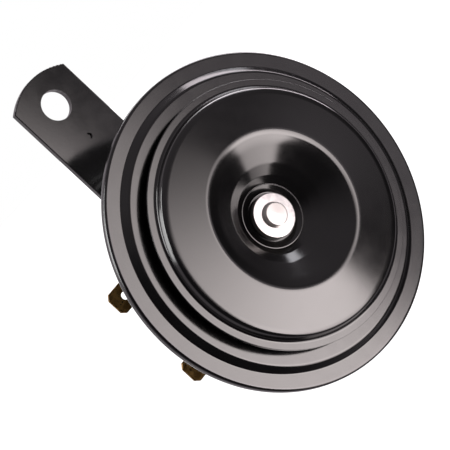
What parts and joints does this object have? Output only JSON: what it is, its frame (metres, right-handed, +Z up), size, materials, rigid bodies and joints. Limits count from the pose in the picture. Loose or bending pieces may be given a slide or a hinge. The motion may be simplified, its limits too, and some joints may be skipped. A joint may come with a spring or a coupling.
{
  "type": "electromagnetic disc horn",
  "caption": "Small black vehicle horn: pressed tone disc on a crimped round housing with a coil pot, breaker contacts, spade terminals and a flat steel bracket.",
  "frame": {"origin": "centre of the bracket's mounting hole, half way through the strip", "axes": "+Y along the mounting hole, from the horn's front to its rear; +Z up the bracket; the horn sounds towards -Y and its terminals point to -X"},
  "size_m": [0.0844, 0.0558, 0.1062],
  "materials": {
    "black_enamel": "gloss",
    "zinc_plate": "bright zinc",
    "soft_iron": "plain turned",
    "spring_steel": "blued, satin",
    "brass": "tarnished",
    "bronze": "satin",
    "silver": "satin",
    "copper_wire": "enamelled",
    "brown_moulding": "satin",
    "black_moulding": "satin",
    "ivory_moulding": "semi gloss",
    "red_fibre": "matt",
    "gasket_paper": "matt"
  },
  "bodies": {
    "horn_body": {"clamp_ring": "black_enamel", "housing_cup": "black_enamel", "mounting_bracket": "black_enamel", "spring_washer": "zinc_plate", "stud_nut": "zinc_plate", "adjuster_nut": "zinc_plate", "adjusting_screw": "zinc_plate", "pole_core": "zinc_plate", "diaphragm": "spring_steel", "rim_gasket": "gasket_paper", "rivet_insulator": "red_fibre", "adjusting_plug": "red_fibre", "coil_bobbin": "ivory_moulding", "coil_winding": "copper_wire", "coil_start_lead": "copper_wire", "coil_end_lead": "copper_wire", "contact_base": "brown_moulding", "terminal_block": "black_moulding", "fixed_contact_strip": "bronze", "fixed_contact_tip": "silver", "contact_spring_rivet": "brass", "solder_tag": "brass", "upper_terminal": "brass", "lower_terminal": "brass", "upper_terminal_rivet": "brass", "lower_terminal_rivet": "brass"},
    "vibrator": {"tone_disc": "black_enamel", "front_washer": "zinc_plate", "centre_rivet": "zinc_plate", "disc_spacer": "soft_iron", "backing_washer": "soft_iron", "armature": "soft_iron", "armature_insulator": "red_fibre"},
    "contact_arm": {"contact_spring": "bronze", "moving_contact_tip": "silver"}
  },
  "joints": [
    {"name": "vibrator_slide", "type": "slide", "parent": "horn_body", "child": "vibrator", "axis": [0, 1, 0], "range_m": [-0.00045, 0.00045], "stiffness_N_per_m": 360000, "deforming": ["diaphragm"]},
    {"name": "contact_hinge", "type": "hinge", "parent": "horn_body", "child": "contact_arm", "pos_m": [0.01142, -0.02375, -0.07902], "axis": [0, 0, -1], "range_deg": [0, 1.1], "stiffness_Nm_per_rad": 2.4, "springref_deg": -1.72, "deforming": ["contact_spring"]}
  ]
}
